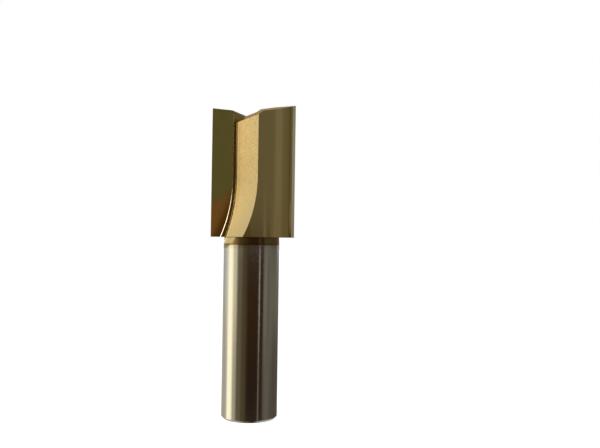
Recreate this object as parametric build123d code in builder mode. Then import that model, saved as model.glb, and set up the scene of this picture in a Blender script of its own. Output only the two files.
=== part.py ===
from build123d import *
import math
import os

# A straight two-flute router bit: a steel body turned and milled from one bar, with two carbide tips brazed into
# seats beside its flutes. Millimetres and degrees. The bit stands on its shank's end face, its axis on Z.

# Driving dimensions: shank and head
shank_diameter = 12.7
shank_length = 41.0          # from the end face up to the head's shoulder, with the plain neck
shank_end_chamfer = 0.5
cutting_diameter = 20.0
head_clearance = 0.5         # the steel head stands this far inside the cutting circle
cutting_length = 30.0        # from the shoulder to the outer corners of the end cutting edges
flute_count = 2

# Driving dimensions: flutes, milled by a double-angle wheel that lifts out towards the shank
rake_offset = 2.4            # how far the rake faces stand off the plane through the axis
gullet_corner_reach = 3.89   # from the axis to the gullet's corner, along the rake face
gullet_corner_radius = 0.35
wall_angle = 25.3            # of the flute's wall, from square to the rake face
wheel_radius = 34.3          # at the gullet's corner
wheel_tilt = 11.1            # of the wheel's axis, from parallel to the flute's wall
flute_runout = 13.3          # height above the shoulder where the wheel starts to lift out

# Driving dimensions: carbide tips and their seats
tip_thickness = 1.6
tip_inner_reach = 4.89       # from the axis to the tip's inner edge
tip_relief_angle = 8.0       # of the tip's land, behind the cutting edge
seat_cutter_radius = 35.2
seat_runout = 13.0           # height above the shoulder where the seat's edge starts to curve out
seat_edge_chamfer = 0.15

# Driving dimensions: the ground end
dish_angle = 5.0             # the end cutting edges fall towards the axis
end_relief_angle = 14.5      # the end falls behind each end cutting edge
recess_depth = 1.9           # of the groove across the middle of the end
recess_width = 6.4
recess_flank_angle = 31.5
recess_turn = 30.0           # of the groove's run, from square to the rake faces
gash_depth = 3.2             # where the gash meets the gullet's corner, below the end
gash_slope = 42.0            # of the gash, which falls square to the flute's wall

# Worked-out sizes
shank_radius = shank_diameter / 2
cutting_radius = cutting_diameter / 2
head_radius = cutting_radius - head_clearance
overall_length = shank_length + cutting_length
flute_start = shank_length + flute_runout
edge_reach = math.sqrt(cutting_radius**2 - rake_offset**2)
far = cutting_diameter       # well outside the bit, for the ends of the cutters' spaces
blank_allowance = 1.0        # left on top of the blank for grinding


def sin_deg(angle):
    return math.sin(math.radians(angle))


def cos_deg(angle):
    return math.cos(math.radians(angle))


def tan_deg(angle):
    return math.tan(math.radians(angle))


# The flute as the space that the wheel clears: a wedge between the rake plane and the wall, run straight down the
# head and then swung about the wheel's axis until it is clear of the neck.
gullet_corner = Vector(-gullet_corner_reach, rake_offset)
wall_direction = Vector(sin_deg(wall_angle), -cos_deg(wall_angle))
wheel_angle = wall_angle + wheel_tilt
wheel_direction = Vector(sin_deg(wheel_angle), -cos_deg(wheel_angle))
to_wheel = Vector(-cos_deg(wheel_angle), -sin_deg(wheel_angle))
wheel_centre = gullet_corner + to_wheel * wheel_radius
wheel_axis = Axis((wheel_centre.X, wheel_centre.Y, flute_start), (wheel_direction.X, wheel_direction.Y, 0))
wheel_body_depth = 0.8 * cutting_diameter
rake_side_end = gullet_corner + Vector(-1, 0) * cutting_radius
wall_side_end = gullet_corner + wall_direction * wheel_body_depth


def pushed_to_depth(point):
    """The point moved towards the wheel's axis until it lies at the depth of the flute space's outer side."""
    return point + to_wheel * (wheel_body_depth - (point - gullet_corner).dot(to_wheel))


with BuildPart() as flute_space:
    with BuildSketch(Plane.XY.offset(flute_start)) as wedge:
        with BuildLine():
            Polyline(
                gullet_corner,
                rake_side_end,
                pushed_to_depth(rake_side_end),
                pushed_to_depth(wall_side_end),
                wall_side_end,
                close=True,
            )
        make_face()
        corner = wedge.vertices().sort_by_distance((gullet_corner.X, gullet_corner.Y, flute_start))[0]
        fillet(corner, radius=gullet_corner_radius)
    extrude(wedge.sketch, amount=far + overall_length - flute_start)
    revolve(wedge.sketch, axis=wheel_axis, revolution_arc=-45)


# The seat's outline on the rake plane, straight down the head and then curving out to the shoulder.
seat_start = shank_length + seat_runout
seat_curve_out = seat_cutter_radius - math.sqrt(seat_cutter_radius**2 - seat_runout**2)
seat_back = Plane.XZ.offset(-(rake_offset + tip_thickness))

with BuildSketch(Plane.XZ) as seat_outline:
    with BuildLine():
        Line((-tip_inner_reach, overall_length + blank_allowance), (-tip_inner_reach, seat_start))
        TangentArc(
            (-tip_inner_reach, seat_start),
            (-tip_inner_reach - seat_curve_out, shank_length),
            tangent=(0, -1),
        )
        Polyline(
            (-tip_inner_reach - seat_curve_out, shank_length),
            (-far, shank_length),
            (-far, overall_length + blank_allowance),
            (-tip_inner_reach, overall_length + blank_allowance),
        )
    make_face()

# The seat as the space that its cutter clears, from its back wall forward through the flute.
with BuildPart() as seat_space:
    with BuildSketch(seat_back):
        add(seat_outline.sketch)
    extrude(amount=far)


# The end as ground: what is left after the relief behind each end cutting edge, the gash at the top of each flute
# and the groove across the middle, which runs aslant of the rake faces.
relief_rise = Vector(tan_deg(dish_angle), tan_deg(end_relief_angle))
relief_plane = Plane(
    origin=(edge_reach, -rake_offset, overall_length),
    z_dir=(-relief_rise.X, -relief_rise.Y, 1),
)
gash_rise = Vector(cos_deg(wall_angle), sin_deg(wall_angle)) * tan_deg(gash_slope)
gash_plane = Plane(
    origin=(gullet_corner.X, gullet_corner.Y, overall_length - gash_depth),
    z_dir=(-gash_rise.X, -gash_rise.Y, 1),
)
recess_floor = overall_length - recess_depth
flank_run = recess_depth / tan_deg(recess_flank_angle)
recess_section = Plane(
    origin=(0, 0, 0),
    x_dir=(cos_deg(recess_turn), -sin_deg(recess_turn), 0),
    z_dir=(-sin_deg(recess_turn), -cos_deg(recess_turn), 0),
)

with BuildPart() as relief_space:
    with BuildSketch(relief_plane):
        Rectangle(2 * far, 2 * far)
    extrude(amount=far)
    split(bisect_by=Plane.XZ, keep=Keep.TOP)

with BuildPart() as gash_space:
    with BuildSketch(gash_plane):
        Rectangle(2 * far, 2 * far)
    extrude(amount=far)
    split(bisect_by=Plane.XZ.offset(-rake_offset), keep=Keep.TOP)

with BuildPart() as ground_end:
    with Locations((0, 0, overall_length / 2)):
        Cylinder(far, overall_length)
    with PolarLocations(0, flute_count):
        add(relief_space.part, mode=Mode.SUBTRACT)
        add(gash_space.part, mode=Mode.SUBTRACT)
    with BuildSketch(recess_section):
        with BuildLine():
            Polyline(
                (-recess_width / 2, recess_floor),
                (-recess_width / 2 - 2 * flank_run, recess_floor + 2 * recess_depth),
                (recess_width / 2 + 2 * flank_run, recess_floor + 2 * recess_depth),
                (recess_width / 2, recess_floor),
                close=True,
            )
        make_face()
    extrude(amount=far, both=True, mode=Mode.SUBTRACT)


def is_seat_rim(edge):
    """Whether an edge of the body runs along a seat's inner wall, on the side that opens to the flute."""
    middle = edge @ 0.5
    side = -1 if middle.X > 0 else 1
    drop = seat_start - middle.Z
    if drop >= seat_runout or side * middle.Y > rake_offset + 1e-4:
        return False
    wall_reach = tip_inner_reach + seat_cutter_radius - math.sqrt(seat_cutter_radius**2 - max(drop, 0) ** 2)
    is_steep = abs((edge @ 0).Z - (edge @ 1).Z) > seat_edge_chamfer
    return is_steep and abs(side * middle.X + wall_reach) < 1e-4


# The steel body: turned, milled for the flutes and the seats, then ground on its end. The seats' front rims are
# broken, which leaves the fine line between steel and carbide.
with BuildPart() as steel_body:
    with BuildSketch(Plane.XZ):
        with BuildLine():
            Polyline(
                (0, 0),
                (shank_radius - shank_end_chamfer, 0),
                (shank_radius, shank_end_chamfer),
                (shank_radius, shank_length),
                (head_radius, shank_length),
                (head_radius, overall_length + blank_allowance),
                (0, overall_length + blank_allowance),
                close=True,
            )
        make_face()
    revolve(axis=Axis.Z)
    with PolarLocations(0, flute_count):
        add(flute_space.part, mode=Mode.SUBTRACT)
        add(seat_space.part, mode=Mode.SUBTRACT)
    add(ground_end.part, mode=Mode.INTERSECT)
    chamfer(steel_body.edges().filter_by(is_seat_rim), length=seat_edge_chamfer)


# One carbide tip: the seat's outline in section, its land relieved behind the cutting edge.
land_angle = tip_relief_angle + math.degrees(math.asin(rake_offset / cutting_radius))
tip_back_reach = edge_reach - tip_thickness * tan_deg(land_angle)

with BuildPart() as carbide_tip:
    with BuildSketch(seat_back):
        add(seat_outline.sketch)
    extrude(amount=tip_thickness)
    with BuildSketch(Plane.XY.offset(shank_length)):
        with BuildLine():
            Polyline(
                (0, rake_offset),
                (-edge_reach, rake_offset),
                (-tip_back_reach, rake_offset + tip_thickness),
                (0, rake_offset + tip_thickness),
                close=True,
            )
        make_face()
    extrude(amount=cutting_length + blank_allowance, mode=Mode.INTERSECT)
    add(ground_end.part, mode=Mode.INTERSECT)


os.makedirs("parts", exist_ok=True)
steel_body.part.label = "steel_body"
export_step(steel_body.part, "parts/steel_body.step")
for index in range(flute_count):
    name = "carbide_tip_" + "abcdef"[index]
    with BuildPart() as placed_tip:
        add(carbide_tip.part, rotation=(0, 0, index * 360 / flute_count))
    placed_tip.part.label = name
    export_step(placed_tip.part, f"parts/{name}.step")
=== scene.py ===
import bpy
import math
from mathutils import Matrix

# A straight two-flute router bit on a white table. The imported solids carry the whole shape, and this script
# gives them their surfaces: ground steel on the shank, a gold coating on the head, polished carbide on the
# tips. Metres; the bit stands on its shank's end face, its axis on Z, and the camera looks along +Y.

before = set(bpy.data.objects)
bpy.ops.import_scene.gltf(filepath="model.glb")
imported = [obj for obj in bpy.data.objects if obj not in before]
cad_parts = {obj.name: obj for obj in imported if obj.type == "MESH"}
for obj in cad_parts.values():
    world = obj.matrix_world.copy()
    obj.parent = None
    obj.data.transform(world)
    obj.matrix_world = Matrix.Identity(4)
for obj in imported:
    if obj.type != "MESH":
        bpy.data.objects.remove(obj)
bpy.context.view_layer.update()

# Places that the surfaces follow
SHANK_RADIUS = 0.00635
HEAD_RADIUS = 0.0095
SHOULDER_HEIGHT = 0.041
COATING_EDGE_HEIGHT = 0.0394   # the coating starts on the neck, a little below the shoulder
NECK_CUT_REACH = 0.005         # how far below the shoulder the flute's cut may reach
GASH_HEIGHT = 0.0678           # where the gash meets the gullet's corner
CORNER_REACH = 0.00389         # from the axis to the gullet's corner
WHEEL_RADIUS = 0.0343          # of the wheel that milled the flute
RUNOUT_HEIGHT = 0.0543         # where the wheel starts to lift out
RUNOUT_SHARE = 0.805           # of the wheel's lift, what moves the corner outwards

# Past these margins a point isn't on the turned surface but on what it borders
LAND_MARGIN = 0.00004
NECK_MARGIN = 0.00003
SHOULDER_MARGIN = 0.00002
RIM_MARGIN = 0.0005            # beyond the gullet's corner, where the seat's broken edge may start

# Bands in which one surface turns into another: from and to, measured from the place that each follows
COATING_EDGE_BAND = (-0.00005, 0.00005)
HAZE_BAND = (-0.0013, 0.0)
EDGE_LINE_RISE = (-0.00022, -0.00008)
EDGE_LINE_FALL = (0.00004, 0.00022)
SHOULDER_LINE_DROP = 0.00005
SHOULDER_LINE_HALF_WIDTH = 0.0001
SHOULDER_LINE_REACH = 0.0002   # how far out from the neck the line runs
GASH_BAND = (-0.0004, 0.0012)
RUNOUT_SHADE_BAND = (0.002, 0.017)
NEAR_CORNER_BAND = (0.0001, 0.0008)

# Which way a surface faces, from its normal's parts
END_FACING = 0.7
RAKE_FACING = 0.93
CORNER_FACING = 0.5
RIM_FACING = 0.36              # the normal's x times its y, on the seat's broken edge

# Colours, as linear values
GROUND_STEEL = (0.60, 0.585, 0.555)
DULL_STEEL = (0.54, 0.5265, 0.4995)
MILLED_STEEL = (0.30, 0.285, 0.25)
COATING_HAZE = (0.40, 0.30, 0.15)    # the trace of coating on the steel below its edge
# a dark line at the coating's edge, also used as painted shadow under the shoulder
EDGE_LINE_AND_SHOULDER_SHADE = (0.107, 0.0612, 0.0212)
GOLD_COATING = (0.66, 0.485, 0.205)
MOTTLE_DARK = (0.63, 0.492, 0.240)
MOTTLE_LIGHT = (0.80, 0.638, 0.352)
MOTTLE_BLOTCH = (0.80, 0.648, 0.366)
MOTTLE_PIT = (0.40, 0.31, 0.15)
# painted highlight: a pale colour on the seat's broken edge
SEAT_EDGE_PAINTED_HIGHLIGHT = (0.90, 0.82, 0.68)
COATED_CARBIDE = (0.62, 0.485, 0.21)
CLOUDED_CARBIDE = (0.5766, 0.45105, 0.1953)
GROUND_CARBIDE = (0.70, 0.57, 0.35)

# Colours that also hold the light or shade that the photo shows in one place on the bit
# painted shade: the steel strip beside the carbide is darkened to stand in for the dark it mirrors
RAKE_STRIP_PAINTED_SHADE = (0.26, 0.14, 0.025)   # the steel beside the carbide
# the neck's gold coating, darkened by painted shade
NECK_COATING_AND_SHADE = (0.27, 0.195, 0.08)
# painted shade: the milled wall is duller where it runs out
RUNOUT_PAINTED_SHADE = (0.60, 0.505, 0.288)
# a painted highlight beside the gullet's corner, and painted shade in the corner itself
CORNER_PAINTED_HIGHLIGHT = (0.96, 0.86, 0.56)     # along the gullet's corner
CORNER_SHADE = (0.055, 0.041, 0.014)

# How much of a colour or of a relief is laid over what is there
DARK_LINE_SHARE = 0.75
HAZE_SHARE = 0.5
BLOTCH_SHARE = 0.35
PIT_SHARE = 0.6
RUNOUT_SHADE_SHARE = 0.7
CORNER_HIGHLIGHT_SHARE = 0.8
GRAIN_SHARE = 0.6

# Noise: how much of it fits in a metre, its detail and its roughness
WANDER_NOISE = (900.0, 2.0, 0.5)     # of the coating's edge
SPECKLE_NOISE = (2600.0, 3.0, 0.6)
BLOTCH_NOISE = (420.0, 2.0, 0.5)
PIT_NOISE = (1700.0, 2.0, 0.7)
NICK_NOISE = (1500.0, 3.0, 0.6)
CLOUD_NOISE = (260.0, 2.0, 0.5)
WANDER_HEIGHT = 0.0002

# Noise along turned and ground lines, whose places are stretched already
GRIND_AROUND = 0.35                  # the lines change slowly round the axis and fast along it
GRIND_ALONG = 9000.0
CARBIDE_LINE_SCALE = (60.0, 60.0, 9000.0)
STEEL_TONE_NOISE = (1.0, 3.0, 0.5)
STEEL_POLISH_NOISE = (2.0, 2.0, 0.5)
GRIND_NOISE = (1.0, 4.0, 0.7)
CARBIDE_LINE_NOISE = (1.0, 3.0, 0.6)

# The part of a noise's range over which it turns from nothing to full
SPECKLE_RANGE = (0.38, 0.60)
BLOTCH_RANGE = (0.45, 0.7)
PIT_RANGE = (0.60, 0.70)
NICK_RANGE = (0.48, 0.75)
CLOUD_RANGE = (0.35, 0.7)

# Roughness, from and to
STEEL_ROUGHNESS = (0.08, 0.16)
LAND_ROUGHNESS = (0.15, 0.21)
MILLED_ROUGHNESS = (0.52, 0.66)
POLISHED_CARBIDE_ROUGHNESS = (0.03, 0.06)
GROUND_CARBIDE_ROUGHNESS = (0.28, 0.40)
RIM_ROUGHNESS = 0.30
NECK_ROUGHNESS = 0.20

# Relief: heights in metres
GRIND_DEPTH = 0.0000008
NICK_DEPTH = 0.0000028
GRAIN_DEPTH = 0.000012
CARBIDE_LINE_DEPTH = 0.0000002
NECK_FLARE = 0.1                     # tilts the neck's shading, as if it widened: the solid is straight


class Nodes:
    """A short way to write a shader's nodes: each call adds one and links what it is given."""

    def __init__(self, tree):
        self.tree = tree
        tree.nodes.clear()

    def add(self, kind, inputs=None, **settings):
        node = self.tree.nodes.new(kind)
        for name, value in settings.items():
            setattr(node, name, value)
        for key, value in (inputs or {}).items():
            self.put(node.inputs[key], value)
        return node

    def put(self, socket, value):
        if isinstance(value, bpy.types.NodeSocket):
            self.tree.links.new(value, socket)
        elif socket.type == "RGBA" and len(value) == 3:
            socket.default_value = (*value, 1)
        else:
            socket.default_value = value

    def math(self, operation, first, second=0.0, third=0.0):
        node = self.add("ShaderNodeMath", {0: first, 1: second, 2: third}, operation=operation)
        return node.outputs[0]

    def product(self, first, *others):
        for other in others:
            first = self.math("MULTIPLY", first, other)
        return first

    def opposite(self, share):
        return self.math("SUBTRACT", 1.0, share)

    def larger(self, first, second):
        return self.math("MAXIMUM", first, second)

    def above(self, value, limit):
        return self.math("GREATER_THAN", value, limit)

    def below(self, value, limit):
        return self.math("LESS_THAN", value, limit)

    def split(self, vector):
        node = self.add("ShaderNodeSeparateXYZ", {0: vector})
        return node.outputs[0], node.outputs[1], node.outputs[2]

    def blend(self, share, first, second):
        node = self.add("ShaderNodeMix", data_type="RGBA")
        for index, value in ((0, share), (6, first), (7, second)):
            self.put(node.inputs[index], value)
        return node.outputs[2]

    def blend_number(self, share, first, second):
        node = self.add("ShaderNodeMix", data_type="FLOAT")
        for index, value in ((0, share), (2, first), (3, second)):
            self.put(node.inputs[index], value)
        return node.outputs[0]

    def step(self, value, start, end):
        """0 up to start, 1 from end, and smooth between them."""
        node = self.add(
            "ShaderNodeMapRange",
            {"Value": value, "From Min": start, "From Max": end},
            interpolation_type="SMOOTHSTEP",
        )
        return node.outputs[0]

    def band(self, value, place, limits):
        """0 up to a band, 1 beyond it, and smooth within it. The band's limits are measured from a place."""
        start, end = limits
        return self.step(value, place + start, place + end)

    def window(self, value, start, end, blur):
        """1 from start to end, fading to 0 over blur on each side."""
        rise = self.step(value, start - blur, start + blur)
        fall = self.step(value, end - blur, end + blur)
        return self.product(rise, self.opposite(fall))

    def noise(self, vector, scale, detail, roughness):
        node = self.add(
            "ShaderNodeTexNoise",
            {"Vector": vector, "Scale": scale, "Detail": detail, "Roughness": roughness},
        )
        return node.outputs[0]

    def bump(self, height, distance, strength=1.0, normal=None):
        inputs = {"Height": height, "Distance": distance, "Strength": strength}
        if normal is not None:
            inputs["Normal"] = normal
        return self.add("ShaderNodeBump", inputs).outputs[0]


def new_material(name):
    """A metal's material, with its nodes and its shader."""
    material = bpy.data.materials.new(name)
    material.use_nodes = True
    nodes = Nodes(material.node_tree)
    shader = nodes.add("ShaderNodeBsdfPrincipled")
    shader.inputs["Metallic"].default_value = 1.0
    nodes.add("ShaderNodeOutputMaterial", {"Surface": shader.outputs[0]})
    return material, nodes, shader


def turned_marks(nodes, x, y, z):
    """A place in which noise runs as lines round the axis, as turning and grinding leave them."""
    angle = nodes.math("ARCTAN2", y, x)
    combined = nodes.add(
        "ShaderNodeCombineXYZ",
        {
            0: nodes.product(nodes.math("SINE", angle), GRIND_AROUND),
            1: nodes.product(nodes.math("COSINE", angle), GRIND_AROUND),
            2: nodes.product(z, GRIND_ALONG),
        },
    )
    return combined.outputs[0]


def past_corner(nodes, x, z):
    """How far a point lies from the gullet's corner towards the axis. Low down, the corner curves out."""
    drop = nodes.larger(nodes.math("SUBTRACT", RUNOUT_HEIGHT, z), 0.0)
    wheel_reach = nodes.math("SUBTRACT", WHEEL_RADIUS ** 2, nodes.product(drop, drop))
    lift = nodes.math("SUBTRACT", WHEEL_RADIUS, nodes.math("SQRT", wheel_reach))
    corner_reach = nodes.math("ADD", nodes.product(lift, RUNOUT_SHARE), CORNER_REACH)
    return nodes.math("SUBTRACT", corner_reach, nodes.math("ABSOLUTE", x))


class BodyZones:
    """Where each surface of the body is, as shares from 0 to 1. The body's two halves are alike."""

    def __init__(self, nodes, place):
        normal = nodes.add("ShaderNodeTexCoord").outputs["Normal"]
        x, y, z = nodes.split(place)
        normal_x, normal_y, normal_z = nodes.split(normal)
        radius = nodes.math("SQRT", nodes.math("ADD", nodes.product(x, x), nodes.product(y, y)))
        faces_front = nodes.math("ABSOLUTE", normal_y)
        faces_out = nodes.product(nodes.math("ABSOLUTE", normal_x), faces_front)
        past = past_corner(nodes, x, z)
        self.z = z
        self.turned_place = turned_marks(nodes, x, y, z)

        # The coating's edge, which wanders a little, the haze below it, and two dark lines on the neck: one at
        # the coating's edge, and one a painted shadow under the shoulder
        wander = nodes.math("SUBTRACT", nodes.noise(place, *WANDER_NOISE), 0.5)
        height = nodes.math("ADD", z, nodes.product(wander, WANDER_HEIGHT))
        self.coated = nodes.band(height, COATING_EDGE_HEIGHT, COATING_EDGE_BAND)
        self.haze = nodes.band(height, COATING_EDGE_HEIGHT, HAZE_BAND)
        edge_line = nodes.math(
            "SUBTRACT",
            nodes.band(height, COATING_EDGE_HEIGHT, EDGE_LINE_RISE),
            nodes.band(height, COATING_EDGE_HEIGHT, EDGE_LINE_FALL),
        )
        line_height = SHOULDER_HEIGHT - SHOULDER_LINE_DROP
        at_shoulder = nodes.math("COMPARE", z, line_height, SHOULDER_LINE_HALF_WIDTH)
        # painted shadow just under the shoulder
        shoulder_shade = nodes.product(at_shoulder, nodes.below(radius, SHANK_RADIUS + SHOULDER_LINE_REACH))
        self.edge_line_and_shoulder_shade = nodes.larger(edge_line, shoulder_shade)

        # What is cut into the head and the neck, apart from the end
        in_head = nodes.above(z, SHOULDER_HEIGHT + SHOULDER_MARGIN)
        inside_land = nodes.below(radius, HEAD_RADIUS - LAND_MARGIN)
        inside_neck = nodes.below(radius, SHANK_RADIUS - NECK_MARGIN)
        self.neck_cut = nodes.product(inside_neck, nodes.above(z, SHOULDER_HEIGHT - NECK_CUT_REACH))
        self.head_or_cut = nodes.larger(in_head, self.neck_cut)
        on_side = nodes.opposite(nodes.above(normal_z, END_FACING))
        cut = nodes.larger(nodes.product(in_head, inside_land), self.neck_cut)
        cut = nodes.product(cut, on_side)

        # Of that, the steel level with the rake face, the seat's broken edge, and the flute's milled wall
        self.rake_level = nodes.product(cut, nodes.above(faces_front, RAKE_FACING))
        self.rim = nodes.product(cut, nodes.above(faces_out, RIM_FACING), nodes.below(past, -RIM_MARGIN))
        self.milled = nodes.math("SUBTRACT", cut, nodes.larger(self.rake_level, self.rim))
        # In the milled wall, the corner that gets painted shade and the strip beside it that gets a painted
        # highlight
        self.corner = nodes.product(self.milled, nodes.above(faces_front, CORNER_FACING))
        self.near_corner = nodes.product(self.milled, nodes.opposite(nodes.step(past, *NEAR_CORNER_BAND)))


def body_material():
    """Ground steel on the shank, and from the neck up a gold coating over turned, milled and ground steel."""
    material, nodes, shader = new_material("coated_steel")
    place = nodes.add("ShaderNodeTexCoord").outputs["Object"]
    zones = BodyZones(nodes, place)
    speckle = nodes.noise(place, *SPECKLE_NOISE)
    blotch = nodes.noise(place, *BLOTCH_NOISE)
    pits = nodes.step(nodes.noise(place, *PIT_NOISE), *PIT_RANGE)
    nicks = nodes.step(nodes.noise(place, *NICK_NOISE), *NICK_RANGE)

    # Colour of the milled wall: mottled and pitted, with painted shade in the run-out and in its corner, and a
    # painted highlight beside the corner
    mottled = nodes.blend(nodes.step(speckle, *SPECKLE_RANGE), MOTTLE_DARK, MOTTLE_LIGHT)
    # where the run-out gets its painted shade
    runout_shade = nodes.opposite(nodes.band(zones.z, SHOULDER_HEIGHT, RUNOUT_SHADE_BAND))
    layers = (
        (nodes.step(blotch, *BLOTCH_RANGE), BLOTCH_SHARE, MOTTLE_BLOTCH),
        (pits, PIT_SHARE, MOTTLE_PIT),
        (runout_shade, RUNOUT_SHADE_SHARE, RUNOUT_PAINTED_SHADE),
        (zones.near_corner, CORNER_HIGHLIGHT_SHARE, CORNER_PAINTED_HIGHLIGHT),
        (zones.corner, 1.0, CORNER_SHADE),
    )
    for where, share, colour in layers:
        mottled = nodes.blend(nodes.product(where, share), mottled, colour)

    # Colour of the coated head and neck
    below_gash = nodes.opposite(nodes.band(zones.z, GASH_HEIGHT, GASH_BAND))
    gold = nodes.blend(zones.milled, GOLD_COATING, mottled)
    # painted shade on the steel strip beside the carbide, below the gash
    gold = nodes.blend(nodes.product(zones.rake_level, below_gash), gold, RAKE_STRIP_PAINTED_SHADE)
    # painted highlight on the seat's broken edge
    gold = nodes.blend(zones.rim, gold, SEAT_EDGE_PAINTED_HIGHLIGHT)
    # the coated neck: gold coating, darkened by painted shade
    gold = nodes.blend(zones.head_or_cut, NECK_COATING_AND_SHADE, gold)

    # Colour of the bare steel, and over both the dark line at the coating's edge and the painted shadow under
    # the shoulder
    steel = nodes.blend(nodes.noise(zones.turned_place, *STEEL_TONE_NOISE), GROUND_STEEL, DULL_STEEL)
    steel = nodes.blend(zones.neck_cut, steel, MILLED_STEEL)
    steel = nodes.blend(nodes.product(zones.haze, HAZE_SHARE), steel, COATING_HAZE)
    tint = nodes.blend(zones.coated, steel, gold)
    tint = nodes.blend(nodes.product(zones.edge_line_and_shoulder_shade, DARK_LINE_SHARE), tint, EDGE_LINE_AND_SHOULDER_SHADE)
    nodes.put(shader.inputs["Base Color"], tint)

    # Roughness
    land_roughness = nodes.blend_number(blotch, *LAND_ROUGHNESS)
    milled_roughness = nodes.blend_number(speckle, *MILLED_ROUGHNESS)
    gold_roughness = nodes.blend_number(zones.milled, land_roughness, milled_roughness)
    gold_roughness = nodes.blend_number(zones.rim, gold_roughness, RIM_ROUGHNESS)
    gold_roughness = nodes.blend_number(zones.head_or_cut, NECK_ROUGHNESS, gold_roughness)
    polish = nodes.noise(zones.turned_place, *STEEL_POLISH_NOISE)
    steel_roughness = nodes.blend_number(polish, *STEEL_ROUGHNESS)
    steel_roughness = nodes.blend_number(zones.neck_cut, steel_roughness, milled_roughness)
    roughness = nodes.blend_number(zones.coated, steel_roughness, gold_roughness)
    nodes.put(shader.inputs["Roughness"], roughness)

    # Relief: lines round the axis, nicks on the bare steel, a grain in the flutes, and the neck's tilt
    relief = nodes.bump(nodes.noise(zones.turned_place, *GRIND_NOISE), GRIND_DEPTH)
    relief = nodes.bump(nicks, NICK_DEPTH, nodes.opposite(zones.coated), relief)
    grain = nodes.math("SUBTRACT", speckle, pits)
    relief = nodes.bump(grain, GRAIN_DEPTH, nodes.product(zones.milled, GRAIN_SHARE), relief)
    above_edge = nodes.larger(nodes.math("SUBTRACT", zones.z, COATING_EDGE_HEIGHT), 0.0)
    above_edge = nodes.math("MINIMUM", above_edge, SHOULDER_HEIGHT - COATING_EDGE_HEIGHT)
    relief = nodes.bump(nodes.product(above_edge, NECK_FLARE), 1.0, normal=relief)
    nodes.put(shader.inputs["Normal"], relief)
    return material


def carbide_material():
    """Coated carbide: a polished rake face, and a ground land and end with fine lines across the bit."""
    material, nodes, shader = new_material("coated_carbide")
    place = nodes.add("ShaderNodeTexCoord").outputs["Object"]
    normal = nodes.add("ShaderNodeTexCoord").outputs["Normal"]
    _, normal_y, _ = nodes.split(normal)
    polished = nodes.above(nodes.math("ABSOLUTE", normal_y), RAKE_FACING)
    line_place = nodes.add("ShaderNodeMapping", {"Vector": place, "Scale": CARBIDE_LINE_SCALE}).outputs[0]
    lines = nodes.noise(line_place, *CARBIDE_LINE_NOISE)
    cloud = nodes.noise(place, *CLOUD_NOISE)
    coated = nodes.blend(nodes.step(cloud, *CLOUD_RANGE), COATED_CARBIDE, CLOUDED_CARBIDE)
    nodes.put(shader.inputs["Base Color"], nodes.blend(polished, GROUND_CARBIDE, coated))
    polished_roughness = nodes.blend_number(cloud, *POLISHED_CARBIDE_ROUGHNESS)
    ground_roughness = nodes.blend_number(lines, *GROUND_CARBIDE_ROUGHNESS)
    roughness = nodes.blend_number(polished, ground_roughness, polished_roughness)
    nodes.put(shader.inputs["Roughness"], roughness)
    nodes.put(shader.inputs["Normal"], nodes.bump(lines, CARBIDE_LINE_DEPTH))
    return material


def dress_solids():
    """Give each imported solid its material."""
    body_surface = body_material()
    tip_surface = carbide_material()
    for name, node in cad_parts.items():
        surface = body_surface if name == "steel_body" else tip_surface
        for slot in node.material_slots:
            slot.material = surface


def patch(azimuth, elevation, colour, strength=1.0, slant=0.0):
    """A patch of the room: azimuths and elevations as (from, to, blur), and its top edge's slant."""
    light = tuple(channel * strength for channel in colour)
    return azimuth, elevation, light, slant


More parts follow.
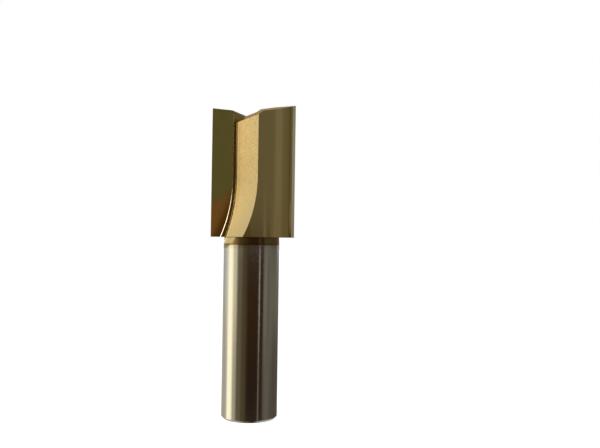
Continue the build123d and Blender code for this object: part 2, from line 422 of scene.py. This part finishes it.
# The room as the metal mirrors it, set after what the bit mirrors in the photo: dark in front, a table
# and soft lights beside it, and a pale backdrop behind. Azimuth is 0 degrees towards the camera, positive to
# the camera's left and 180 behind the bit; elevation is above the horizon. Each patch is laid over those
# before it.
DARK_BROWN = (0.045, 0.022, 0.008)
OLIVE_GREY = (0.135, 0.136, 0.084)
CEILING = (0.20, 0.17, 0.11)
WARM_WHITE = (1.0, 0.97, 0.90)
HORIZON = (-1.0, 4.0)          # the elevations over which the brown turns into grey
CEILING_EDGE = (14.0, 34.0)    # and those over which the grey turns into the ceiling
SLANT_PIVOT = 6.5              # the azimuth that a slanting edge turns about
ROOM = {
    "front_low": patch((-36, 20, 6), (-90, -9, 4), (0.024, 0.013, 0.007)),
    "front_left_low": patch((13, 60, 8), (-90, 4, 3), (0.10, 0.072, 0.035)),
    "left_wall": patch((34, 190, 6), (-90, 90, 1), (0.17, 0.14, 0.085)),
    "left_wall_low": patch((104, 172, 10), (-35, 14, 4), (0.30, 0.25, 0.12)),
    "brown_card": patch((2.5, 11, 0.5), (-0.3, 2.7, 0.15), (0.215, 0.122, 0.058), slant=0.65),
    "brown_card_fold": patch((2.5, 11, 0.5), (-0.3, -0.1, 0.2), (0.085, 0.043, 0.012), slant=2.27),
    "front_right_high": patch((-190, 3, 1.5), (0.7, 90, 0.8), (0.165, 0.170, 0.158)),
    "front_right_low": patch((-60, 3, 1.5), (0.8, 2.8, 0.6), (0.235, 0.240, 0.222)),
    "right_room_low": patch((-190, -57, 4), (-16, 0, 2), (0.13, 0.115, 0.090)),
    "right_room": patch((-190, -56, 4), (-9, 0, 4), (0.20, 0.186, 0.136)),
    "right_window": patch((-88, -66, 3), (-16, 0, 2), (0.17, 0.158, 0.125)),
    "right_window_far": patch((-72, -62, 3), (-7, 0, 3), (0.255, 0.24, 0.178)),
    "right_far_low": patch((-190, -104, 8), (-16, -7, 3), (0.115, 0.098, 0.083)),
    "right_window_high": patch((-92, -67, 4), (0, 14, 2), (0.240, 0.242, 0.232)),
    "right_corner": patch((-133, -110, 5), (0, 14, 3), (0.150, 0.145, 0.108)),
    "door_gap": patch((-40.5, -36, 1.5), (-16, -0.5, 1), (0.24, 0.20, 0.19)),
    "door_gap_far": patch((-41, -36.5, 1.5), (-7.5, -0.5, 1.5), (0.50, 0.41, 0.41)),
    "behind_high": patch((146, 200, 6), (15, 42, 4), (0.41, 0.29, 0.20)),
    "right_soft_light": patch((-150, -50, 10), (36, 64, 6), (0.90, 0.86, 0.78)),
    "ceiling_light": patch((-200, 200, 1), (66, 91, 6), (0.50, 0.47, 0.40)),
    "lit_table": patch((56, 118, 5), (-35, 3, 3), (0.60, 0.53, 0.38)),
    "lit_table_far": patch((56, 118, 5), (-7, 3, 3), (0.92, 0.82, 0.58)),
    "lit_paper": patch((75, 104, 6), (-35, 3, 3), (1.0, 0.96, 0.70), strength=1.75),
    "dim_floor": patch((-200, 200, 1), (-71, -17, 1.5), (0.32, 0.295, 0.24)),
    "pale_floor": patch((-200, 200, 1), (-64, -31, 6), (0.60, 0.575, 0.53)),
    "soft_light_low": patch((28, 70, 6), (6, 16, 3), WARM_WHITE, strength=4.1),
    "soft_light": patch((34, 112, 10), (14, 47, 5), WARM_WHITE, strength=2.6),
}
# Where mirrors see the white backdrop behind the bit: azimuths, elevations, and how much of its white
BACKDROP = {
    "left_low": ((108, 164, 14), (-35, 14, 4), 0.38),
    "left": ((104, 136, 10), (-7, 14, 4), 0.60),
    "right": ((-200, -136, 5), (0, 12, 4), 0.66),
}


def room_colour(nodes, azimuth, elevation):
    """The room's colour in a direction."""
    room = nodes.blend(nodes.step(elevation, *HORIZON), DARK_BROWN, OLIVE_GREY)
    room = nodes.blend(nodes.step(elevation, *CEILING_EDGE), room, CEILING)
    for around, (bottom, top, blur), light, slant in ROOM.values():
        lean = nodes.product(nodes.math("SUBTRACT", azimuth, SLANT_PIVOT), slant)
        rising = nodes.step(elevation, bottom - blur, bottom + blur)
        falling = nodes.step(nodes.math("ADD", elevation, lean), top - blur, top + blur)
        upward = nodes.product(rising, nodes.opposite(falling))
        room = nodes.blend(nodes.product(nodes.window(azimuth, *around), upward), room, light)
    return room


def backdrop_share(nodes, azimuth, elevation):
    """How much of the white backdrop a mirror sees in a direction."""
    behind = 0.0
    for around, upward, share in BACKDROP.values():
        seen = nodes.product(nodes.window(azimuth, *around), nodes.window(elevation, *upward), share)
        behind = nodes.larger(behind, seen)
    return behind


def light_room():
    """Make the world: a room that lights the metal. The camera sees white, and mirrors see some of that."""
    world = bpy.data.worlds.new("studio")
    world.use_nodes = True
    bpy.context.scene.world = world
    nodes = Nodes(world.node_tree)
    x, y, z = nodes.split(nodes.add("ShaderNodeTexCoord").outputs["Generated"])
    azimuth = nodes.math("ARCTAN2", nodes.product(x, -1.0), nodes.product(y, -1.0))
    azimuth = nodes.math("DEGREES", azimuth)
    elevation = nodes.math("DEGREES", nodes.math("ARCSINE", z))
    room = room_colour(nodes, azimuth, elevation)
    behind = backdrop_share(nodes, azimuth, elevation)
    path = nodes.add("ShaderNodeLightPath")
    mirrored = nodes.larger(path.outputs["Is Glossy Ray"], path.outputs["Is Transmission Ray"])
    white_share = nodes.larger(path.outputs["Is Camera Ray"], nodes.product(mirrored, behind))
    light = nodes.add("ShaderNodeBackground", {"Color": room, "Strength": 1.0}).outputs[0]
    white = nodes.add("ShaderNodeBackground", {"Color": (1, 1, 1), "Strength": 1.0}).outputs[0]
    shown = nodes.add("ShaderNodeMixShader", {0: white_share, 1: light, 2: white}).outputs[0]
    nodes.add("ShaderNodeOutputWorld", {"Surface": shown})


# The floor
FLOOR_REACH = 3.0
FLOOR_COLOUR = (0.5, 0.5, 0.5)
FLOOR_GLOW = 0.86              # where the floor is seen, so that it is white and keeps the bit's shadow


def add_floor():
    """Make the white table under the bit. It is hidden from mirror rays, which see the room's own floor."""
    mesh = bpy.data.meshes.new("floor")
    signs = ((-1, -1), (1, -1), (1, 1), (-1, 1))
    corners = [(x * FLOOR_REACH, y * FLOOR_REACH, 0) for x, y in signs]
    mesh.from_pydata(corners, [], [(0, 1, 2, 3)])
    floor = bpy.data.objects.new("floor", mesh)
    bpy.context.scene.collection.objects.link(floor)
    material = bpy.data.materials.new("floor_white")
    material.use_nodes = True
    nodes = Nodes(material.node_tree)
    matt = nodes.add("ShaderNodeBsdfDiffuse", {"Color": FLOOR_COLOUR}).outputs[0]
    glow = nodes.add("ShaderNodeEmission", {"Color": (1, 1, 1), "Strength": FLOOR_GLOW}).outputs[0]
    white = nodes.add("ShaderNodeAddShader", {0: matt, 1: glow}).outputs[0]
    path = nodes.add("ShaderNodeLightPath")
    seen = nodes.larger(path.outputs["Is Camera Ray"], path.outputs["Is Glossy Ray"])
    seen = nodes.larger(seen, path.outputs["Is Transmission Ray"])
    shown = nodes.add("ShaderNodeMixShader", {0: seen, 1: matt, 2: white}).outputs[0]
    nodes.add("ShaderNodeOutputMaterial", {"Surface": shown})
    floor.data.materials.append(material)
    floor.visible_glossy = False


# The camera: its place, and its turns in degrees from looking along +Y
FOCAL_PIXELS = 742.5
FRAME_WIDTH = 600
SENSOR_WIDTH = 36.0
NEAREST = 0.005
CAMERA_PLACE = (0.01005, -0.1705, 0.04048)
CAMERA_YAW = 0.33
CAMERA_PITCH = 1.25
CAMERA_ROLL = 0.81


def add_camera():
    data = bpy.data.cameras.new("camera")
    data.sensor_fit = "HORIZONTAL"
    data.sensor_width = SENSOR_WIDTH
    data.lens = SENSOR_WIDTH * FOCAL_PIXELS / FRAME_WIDTH
    data.clip_start = NEAREST
    camera = bpy.data.objects.new("camera", data)
    bpy.context.scene.collection.objects.link(camera)
    camera.matrix_world = (
        Matrix.Translation(CAMERA_PLACE)
        @ Matrix.Rotation(math.radians(-CAMERA_YAW), 4, "Z")
        @ Matrix.Rotation(math.radians(90 + CAMERA_PITCH), 4, "X")
        @ Matrix.Rotation(math.radians(CAMERA_ROLL), 4, "Z")
    )
    bpy.context.scene.camera = camera


bpy.context.scene.view_settings.view_transform = "Standard"
dress_solids()
light_room()
add_floor()
add_camera()
